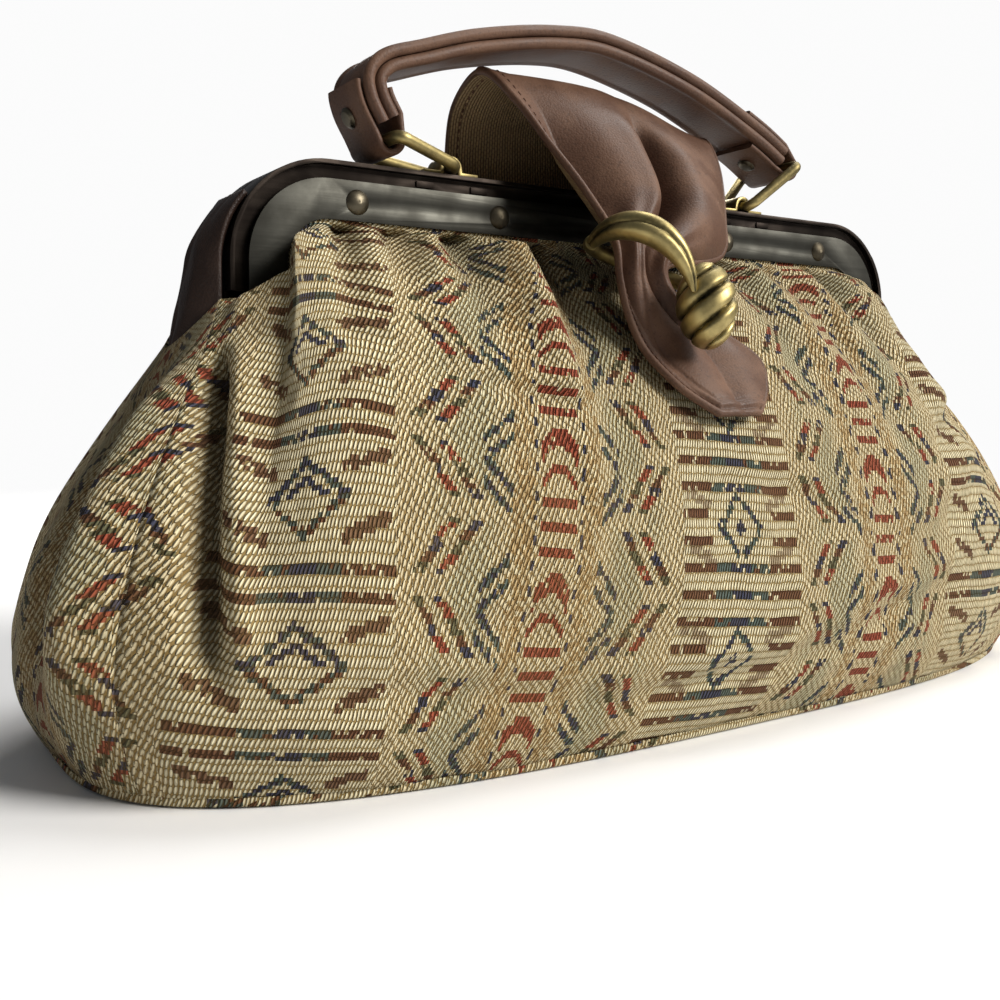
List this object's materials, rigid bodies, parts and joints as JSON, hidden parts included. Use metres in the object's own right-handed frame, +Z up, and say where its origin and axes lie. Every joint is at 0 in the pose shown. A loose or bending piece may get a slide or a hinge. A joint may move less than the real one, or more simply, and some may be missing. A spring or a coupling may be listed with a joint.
{
  "type": "carpet bag",
  "caption": "Squat tapestry carpet bag on a hinged riveted metal frame, with a two-layer leather handle on wire rings and a leather tongue drawn through a twisted ring.",
  "frame": {"origin": "centre of the base on the floor", "axes": "+X along the frame, from the viewer's left to right, +Y from the front to the back, +Z up"},
  "size_m": [0.362, 0.1626, 0.2037],
  "materials": {
    "tapestry": "woven, worn",
    "dark_leather": "satin",
    "brown_leather": "soft satin",
    "ribbed_lining": "ribbed",
    "tab_webbing": "woven",
    "dark_bronze": "satin",
    "pewter": "brushed, tarnished",
    "antique_brass": "antique"
  },
  "bodies": {
    "bag": {"front_panel": "tapestry", "back_panel": "tapestry", "left_gusset": "tapestry", "right_gusset": "tapestry", "base_panel": "tapestry", "left_hinge_gore": "dark_leather", "right_hinge_gore": "dark_leather", "back_channel": "dark_bronze", "back_face_plate": "pewter", "back_rivets": "pewter", "left_hinge_pin": "dark_bronze", "right_hinge_pin": "dark_bronze", "tongue_leather": "brown_leather", "tongue_lining": "ribbed_lining"},
    "front_frame": {"front_channel": "dark_bronze", "front_face_plate": "pewter", "front_rivets": "pewter", "left_saddle": "antique_brass", "right_saddle": "antique_brass", "ring_tab": "tab_webbing"},
    "left_ring": {"left_handle_ring": "antique_brass"},
    "right_ring": {"right_handle_ring": "antique_brass"},
    "handle": {"handle_outer_strap": "brown_leather", "handle_inner_strap": "brown_leather", "left_handle_loop": "brown_leather", "right_handle_loop": "brown_leather", "handle_rivets": "antique_brass"},
    "scarf_ring": {"twisted_ring": "antique_brass"}
  },
  "joints": [
    {"name": "frame_open", "type": "hinge", "parent": "bag", "child": "front_frame", "pos_m": [0, 0, 0.108], "axis": [1, 0, 0], "range_deg": [0, 60], "deforming": ["front_panel", "left_gusset", "right_gusset", "left_hinge_gore", "right_hinge_gore", "tongue_leather", "tongue_lining"]},
    {"name": "left_ring_swing", "type": "hinge", "parent": "front_frame", "child": "left_ring", "pos_m": [-0.061, -0.00645, 0.1581], "axis": [0, 1, 0], "range_deg": [-4, 16]},
    {"name": "handle_pivot", "type": "hinge", "parent": "left_ring", "child": "handle", "pos_m": [-0.08277, -0.00645, 0.16293], "axis": [0, 1, 0], "range_deg": [-13, 4]},
    {"name": "right_ring_swing", "type": "hinge", "parent": "front_frame", "child": "right_ring", "pos_m": [0.056, -0.00645, 0.1581], "axis": [0, 1, 0], "range_deg": [-3, 11]},
    {"name": "scarf_ring_swing", "type": "hinge", "parent": "front_frame", "child": "scarf_ring", "pos_m": [-0.0068, -0.02968, 0.13159], "axis": [0.9158, -0.2809, -0.2869], "range_deg": [-8, 4], "deforming": ["tongue_leather", "tongue_lining", "front_panel"]}
  ],
  "couplings": [
    {"joint": "handle_pivot", "follows": "left_ring_swing", "ratio": -0.7906},
    {"joint": "right_ring_swing", "follows": "left_ring_swing", "ratio": 0.6342}
  ]
}
